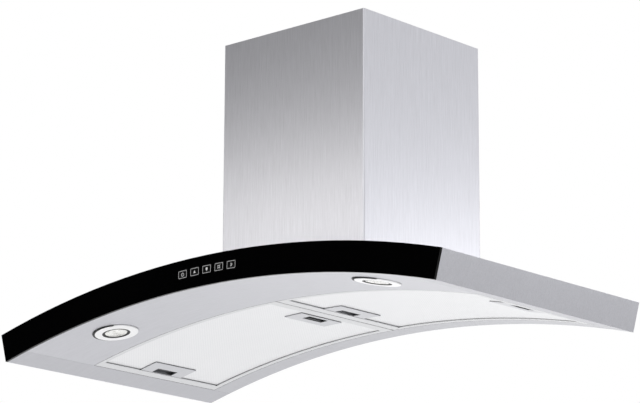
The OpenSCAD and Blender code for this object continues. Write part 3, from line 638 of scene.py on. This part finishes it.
def make_key(node, sign):
    place = place_of(node, GLASS_Y) @ FACE_ON
    stem_end = (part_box(node)[1].y - GLASS_Y) / MM
    stem = [(STEM_R, RIM_BACK), (STEM_R, stem_end - STEM_TAPER), (STEM_TIP_R, stem_end)]
    cap = bmesh.new()
    add_slab(cap, rounded_box(KEY_W, KEY_H, KEY_CORNER), KEY_FACE, RIM_FACE, place, low_edge=KEY_EDGE)
    add_slab(cap, rounded_box(RIM_W, RIM_H, RIM_CORNER), RIM_FACE, RIM_BACK, place, high_edge=RIM_EDGE)
    add_lathe(cap, stem, place, STEM_STEPS, closed=False)
    new_piece("cap_of_" + node, cap, key_moulding, node, (node,))

    ink = bmesh.new()
    border = rounded_box(BORDER_W, BORDER_H, BORDER_CORNER)
    add_stroke(ink, border, BORDER_LINE, PRINT_FACE, KEY_FACE, place, closed=True)
    lines, fills = sign
    for line in lines:
        add_stroke(ink, line, SIGN_LINE, PRINT_FACE, KEY_FACE, place)
    for fill in fills:
        add_slab(ink, fill, PRINT_FACE, KEY_FACE, place)
    new_piece("print_on_" + node, ink, key_print, node)


# Lamps: a bezel with a rolled lip, dark seal rings at its rim and in its bore that stand for painted
# shadow, and the glass with its facets

# From the face of the fascia glass to the middle of a lamp
LAMP_Y_IN = 76 * MM
# Heights run outwards from the underside of the arch, so what hangs into the room is below zero
BEZEL_R, SHOULDER_R, SLEEVE_R, BORE_R, LENS_R = 35.0, 25.0, 27.0, 22.0, 18.0
BEZEL_FACE_R, BEZEL_FOOT_R = BEZEL_R - 1.0, BEZEL_R - 0.4
BEZEL_FACE_Z, BEZEL_FOOT_Z, SLEEVE_END_Z, LEDGE_Z = -2.56, -0.59, 5.4, 1.6
RIM_SHADOW_SEAL_R0, RIM_SHADOW_SEAL_Z0, RIM_SHADOW_SEAL_Z1 = BEZEL_R - 0.5, -1.77, -0.57
BORE_SHADOW_SEAL_R0, BORE_SHADOW_SEAL_R1, BORE_SHADOW_SEAL_END_Z = LENS_R + 0.1, BORE_R - 0.05, 1.2
BORE_SHADOW_SEAL_LENS_Z, BORE_SHADOW_SEAL_FACE_Z = -2.25, -2.5

# The rim of the bezel and of its seal lie off the lamp's middle, so that the dark seal shows on one side
# as a painted shadow crescent
SHIFTED_FROM_R = BEZEL_R - 4
BEZEL_SHIFT = (0.4, 0.3)
SHADOW_SEAL_SHIFT = (-1.9, -1.3)

# Corners of the profiles: radius, height and the round of the corner
BEZEL = rounded([
    (BORE_R, BEZEL_FACE_Z, 0.3), (BEZEL_FACE_R, BEZEL_FACE_Z, 0.8), (BEZEL_FOOT_R, BEZEL_FOOT_Z, 0),
    (SLEEVE_R, BEZEL_FOOT_Z, 0), (SLEEVE_R, SLEEVE_END_Z, 0.2), (SHOULDER_R, SLEEVE_END_Z, 0.2),
    (SHOULDER_R, LEDGE_Z, 0), (BORE_R, LEDGE_Z, 0)])
# The rim seal: a dark ring that stands for the painted shadow crescent beside the bezel
RIM_SHADOW_SEAL = rounded([
    (SLEEVE_R, RIM_SHADOW_SEAL_Z0, 0), (RIM_SHADOW_SEAL_R0, RIM_SHADOW_SEAL_Z0, 0.4), (BEZEL_R, RIM_SHADOW_SEAL_Z1, 0.3),
    (SLEEVE_R, RIM_SHADOW_SEAL_Z1, 0)])
# The bore seal: a dark ring that stands for the painted shade in the gap between bezel and glass
BORE_SHADOW_SEAL = rounded([
    (BORE_SHADOW_SEAL_R0, BORE_SHADOW_SEAL_LENS_Z, 0.4), (BORE_SHADOW_SEAL_R1, BORE_SHADOW_SEAL_FACE_Z, 0.1),
    (BORE_SHADOW_SEAL_R1, BORE_SHADOW_SEAL_END_Z, 0), (BORE_SHADOW_SEAL_R0, BORE_SHADOW_SEAL_END_Z, 0)])

# Rows of the lamp glass from its back round its rim to its middle, as radius and height: a flat
# ridge at the rim, then rows of facets that go in and out and hang lowest at the middle
LENS_ROWS = ((LENS_R, 2.9), (LENS_R, -1.3), (17.2, -1.65), (15.6, -1.3), (12.8, -1.8), (9.8, -1.4),
             (6.6, -1.9), (3.8, -1.5), (1.8, -2.0))
LENS_STEPS = 48
# From this row inwards, two points in every four stand back by the facet's depth
FACET_ROW = 4
FACET_DEPTH = 0.25
FACET_ANGLE = 8


def make_lamp(side):
    ring = "lamp_ring_" + side
    place = place_of(ring, GLASS_Y + LAMP_Y_IN, IN_R)
    bezel = bmesh.new()
    add_lathe(bezel, BEZEL, place, shift=BEZEL_SHIFT, shifted_from=SHIFTED_FROM_R)
    new_piece("bezel_" + side, bezel, ring_chrome, "root", (ring,))
    # Dark rings that stand for painted shadow at the bezel's rim and in its bore
    shadow_seals = bmesh.new()
    add_lathe(shadow_seals, RIM_SHADOW_SEAL, place, shift=SHADOW_SEAL_SHIFT, shifted_from=SHIFTED_FROM_R)
    add_lathe(shadow_seals, BORE_SHADOW_SEAL, place)
    new_piece("shadow_seals_" + side, shadow_seals, shadow_seal_rubber, "root")
    lens = bmesh.new()
    add_loops(lens, [lens_loop(row, radius, z) for row, (radius, z) in enumerate(LENS_ROWS)], place)
    new_piece("glass_" + side, lens, lens_finish, "root", ("lamp_lens_" + side,), FACET_ANGLE)


def lens_loop(row, radius, z):
    """Points round a row of the lamp glass, every other row turned by half a step."""
    loop = []
    for k in range(LENS_STEPS):
        angle = (k + 0.5 * (row % 2)) * math.tau / LENS_STEPS
        back = FACET_DEPTH if row >= FACET_ROW and k % 4 < 2 else 0.0
        loop.append((radius * math.cos(angle), radius * math.sin(angle), z + back))
    return loop


for key, sign in zip(KEYS, KEY_SIGNS):
    make_key(key, sign)
for side in SIDES:
    make_lamp(side)

# Small rounds, in millimetres, on the edges that a hand or the eye meets
EDGE_ROUNDS = {"glass_fascia": 0.5, "end_panel_left": 0.8, "end_panel_right": 0.8}
for side in SIDES:
    for end in ENDS:
        EDGE_ROUNDS["handle_%s_%s" % (end, side)] = 0.25
        EDGE_ROUNDS["latch_%s_%s" % (end, side)] = 0.15
for name, width in EDGE_ROUNDS.items():
    soften = nodes[name].modifiers.new("soft edges", "BEVEL")
    soften.width = width * MM
    soften.segments = 2
    soften.limit_method = "ANGLE"
    soften.angle_limit = math.radians(40)


# Studio

# Light of the room, and where it differs from that, brighter or darker: the direction, the cosines
# at which the change starts and is full, and the change
ROOM = 0.66
ROOM_PATCHES = (
    ((0, 0, 1), 0.35, 0.85, 0.56),  # overhead
    ((-0.7, 0.72, -0.02), 0.72, 0.97, 0.58),  # left, behind
    ((-0.646, -0.72, 0.25), 0.76, 0.95, -0.65),  # left, in front: what the front and the glass mirror
    ((0.62, 0.72, 0.36), 0.84, 0.98, 0.12),  # right, behind and above
    ((0.69, 0.72, -0.14), 0.86, 0.985, -0.32),  # right, behind and below
    ((0.65, -0.72, -0.2), 0.5, 0.9, 0.2),  # right, in front and below
)

# Softboxes: place, the point that they face, width, height, strength and colour
FRONT_AIM = (0.02, -0.3, -0.08)
WARM, WHITE = (1.0, 0.985, 0.95), (1.0, 1.0, 1.0)
SOFTBOXES = {
    "front strip light": ((-0.2, -1.06, 0.155), FRONT_AIM, 1.4, 0.08, 3.8, WARM),
    "front low softbox": ((-0.93, -2.2, -0.32), FRONT_AIM, 1.6, 0.9, 2.6, WARM),
    "right softbox": ((1.25, 1.05, 0.1), (0.15, -0.1, 0.0), 0.7, 0.22, 5.2, WHITE),
    "overhead softbox": ((0.4, -0.9, 2.0), (0, -0.2, 0), 1.6, 1.2, 0.4, WHITE),
}

# The floor lies far below, so that the hood can also be looked at from underneath
FLOOR_Z = -5.6
FLOOR_EDGE = 18.0


def make_camera():
    turn, rise, roll = (math.radians(angle) for angle in (CAMERA_TURN, CAMERA_RISE, CAMERA_ROLL))
    ahead = Vector((-math.sin(turn) * math.cos(rise), math.cos(turn) * math.cos(rise), math.sin(rise)))
    level = Vector((math.cos(turn), math.sin(turn), 0))
    upright = level.cross(ahead)
    right = level * math.cos(roll) + upright * math.sin(roll)
    up = upright * math.cos(roll) - level * math.sin(roll)
    data = bpy.data.cameras.new("view")
    data.lens = CAMERA_LENS
    data.sensor_width = SENSOR_W
    data.sensor_fit = "HORIZONTAL"
    data.clip_start = CLIP_START
    camera = show("view", data)
    camera.matrix_world = Matrix.Translation(CAMERA_AT) @ Matrix((right, up, -ahead)).transposed().to_4x4()
    bpy.context.scene.camera = camera


def softbox(name, at, aim, width, height, strength, colour):
    data = bpy.data.lights.new(name, "AREA")
    data.color = colour
    data.shape = "RECTANGLE"
    data.size, data.size_y = width, height
    data.energy = strength * width * height * math.pi
    lamp = show(name, data)
    lamp.location = at
    lamp.rotation_euler = (Vector(aim) - Vector(at)).to_track_quat("-Z", "Y").to_euler()


def make_world():
    """White to the camera. Every other ray meets a pale room with brighter and darker stretches."""
    world = bpy.data.worlds.new("studio")
    world.use_nodes = True
    tree = world.node_tree
    direction = add(tree, "ShaderNodeTexCoord").outputs["Generated"]
    level = ROOM
    for aim, start, full, change in ROOM_PATCHES:
        cosine = add(tree, "ShaderNodeVectorMath", {0: direction, 1: Vector(aim).normalized()},
                     operation="DOT_PRODUCT").outputs["Value"]
        patch = remap(tree, cosine, start, full, 0.0, 1.0, "SMOOTHSTEP")
        level = math_node(tree, "ADD", times(tree, patch, change), level)
    from_camera = add(tree, "ShaderNodeLightPath").outputs["Is Camera Ray"]
    strength = mix_float(tree, from_camera, level, 1.0)
    feed(tree, tree.nodes["Background"], {"Color": (1, 1, 1, 1), "Strength": strength})
    bpy.context.scene.world = world


def make_floor():
    corners = rectangle(-FLOOR_EDGE, -FLOOR_EDGE, FLOOR_EDGE, FLOOR_EDGE)
    data = bpy.data.meshes.new("floor")
    data.from_pydata([(x, y, FLOOR_Z) for x, y in corners], [], [range(len(corners))])
    material, tree, shader = new_material("pale floor")
    marks = use(tree, HANDLING, Scale=1.5)
    tone = mix_colour(tree, marks["Cloud"], (0.9, 0.9, 0.9, 1), (0.94, 0.94, 0.94, 1))
    feed(tree, shader, {"Base Color": tone, "Roughness": 0.8})
    data.materials.append(material)
    show("floor", data)


make_camera()
make_world()
make_floor()
for name, values in SOFTBOXES.items():
    softbox(name, *values)

bpy.context.scene.view_settings.view_transform = "Standard"
